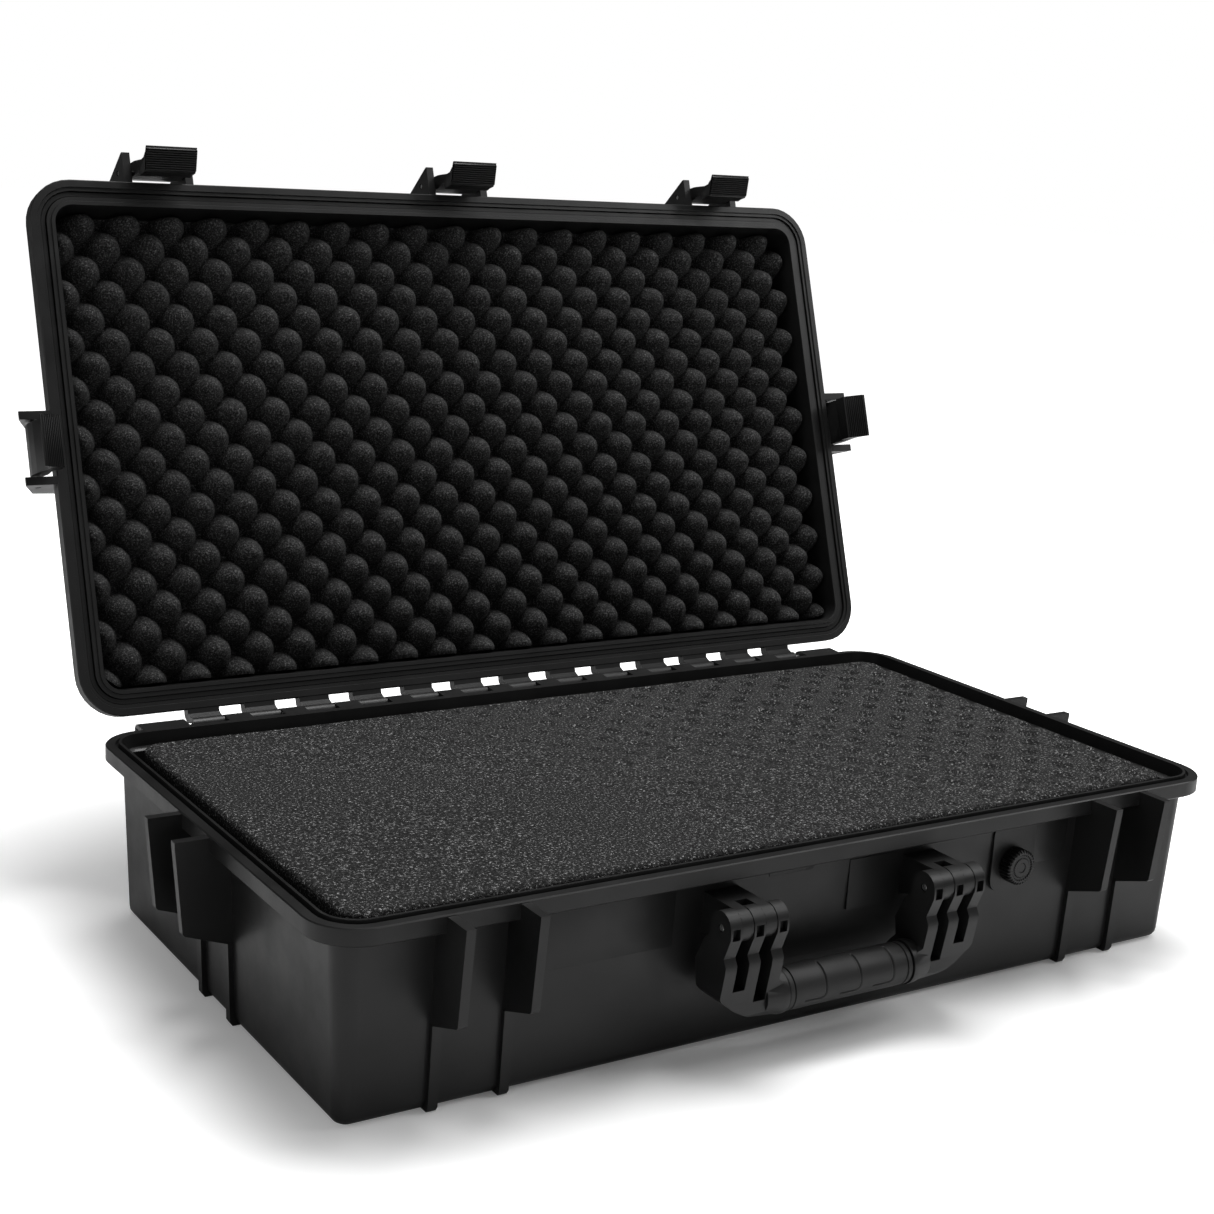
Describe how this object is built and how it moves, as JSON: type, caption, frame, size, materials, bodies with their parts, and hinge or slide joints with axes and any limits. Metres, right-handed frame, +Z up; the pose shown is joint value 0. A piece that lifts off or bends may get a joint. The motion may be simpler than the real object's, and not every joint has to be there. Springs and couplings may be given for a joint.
{
  "type": "hard equipment case",
  "caption": "Moulded hard case with a knuckle-hinged lid, swinging latches, folding handle, pressure valve, rim seal and foam lining; shown open.",
  "frame": {"origin": "centre of the flat underside, on the surface that the case rests on", "axes": "+X along the long side, front with the handle faces -Y, +Z up"},
  "size_m": [0.808, 0.6588, 0.5724],
  "materials": {
    "shell_plastic": "satin moulded, fine texture",
    "latch_plastic": "satin moulded, lightly scuffed",
    "handle_plastic": "satin moulded",
    "valve_plastic": "satin moulded",
    "grip_rubber": "soft matt",
    "seal_rubber": "smooth",
    "flat_foam": "open-cell foam, fine grain",
    "egg_crate_foam": "convoluted open-cell foam",
    "pin_steel": "bright drawn"
  },
  "bodies": {
    "base": {"base_shell": "shell_plastic", "base_foam": "flat_foam", "base_foam_pad": "flat_foam", "hinge_pin": "pin_steel", "handle_pin_left": "pin_steel", "handle_pin_right": "pin_steel", "valve_body": "valve_plastic", "valve_seal": "seal_rubber", "valve_nut": "valve_plastic"},
    "lid": {"lid_shell": "shell_plastic", "lid_seal": "seal_rubber", "lid_foam": "egg_crate_foam", "latch_pin_front_left": "pin_steel", "latch_pin_front_centre": "pin_steel", "latch_pin_front_right": "pin_steel", "latch_pin_left": "pin_steel", "latch_pin_right": "pin_steel"},
    "handle": {"handle_frame": "handle_plastic", "handle_grip": "grip_rubber"},
    "valve_knob": {"valve_knob": "valve_plastic"},
    "latch_front_left": {"latch_front_left": "latch_plastic"},
    "latch_front_centre": {"latch_front_centre": "latch_plastic"},
    "latch_front_right": {"latch_front_right": "latch_plastic"},
    "latch_left": {"latch_left": "latch_plastic"},
    "latch_right": {"latch_right": "latch_plastic"}
  },
  "joints": [
    {"name": "lid_hinge", "type": "hinge", "parent": "base", "child": "lid", "pos_m": [0, 0.224, 0.133], "axis": [1, 0, 0], "range_deg": [0, 109]},
    {"name": "handle_hinge", "type": "hinge", "parent": "base", "child": "handle", "pos_m": [0, -0.231, 0.104], "axis": [-1, 0, 0], "range_deg": [0, 100]},
    {"name": "valve_turn", "type": "hinge", "parent": "base", "child": "valve_knob", "pos_m": [0.18002, -0.2, 0.092], "axis": [0, -1, 0], "range_deg": [0, 270]},
    {"name": "latch_front_left_hinge", "type": "hinge", "parent": "lid", "child": "latch_front_left", "pos_m": [-0.272, 0.38828, 0.54866], "axis": [-1, 0, 0], "range_deg": [-6, 100]},
    {"name": "latch_front_centre_hinge", "type": "hinge", "parent": "lid", "child": "latch_front_centre", "pos_m": [0, 0.38828, 0.54866], "axis": [-1, 0, 0], "range_deg": [-6, 100]},
    {"name": "latch_front_right_hinge", "type": "hinge", "parent": "lid", "child": "latch_front_right", "pos_m": [0.272, 0.38828, 0.54866], "axis": [-1, 0, 0], "range_deg": [-6, 100]},
    {"name": "latch_left_hinge", "type": "hinge", "parent": "lid", "child": "latch_left", "pos_m": [-0.391, 0.31584, 0.33829], "axis": [0, -0.3256, -0.9455], "range_deg": [-6, 100]},
    {"name": "latch_right_hinge", "type": "hinge", "parent": "lid", "child": "latch_right", "pos_m": [0.391, 0.31584, 0.33829], "axis": [0, 0.3256, 0.9455], "range_deg": [-6, 100]}
  ]
}
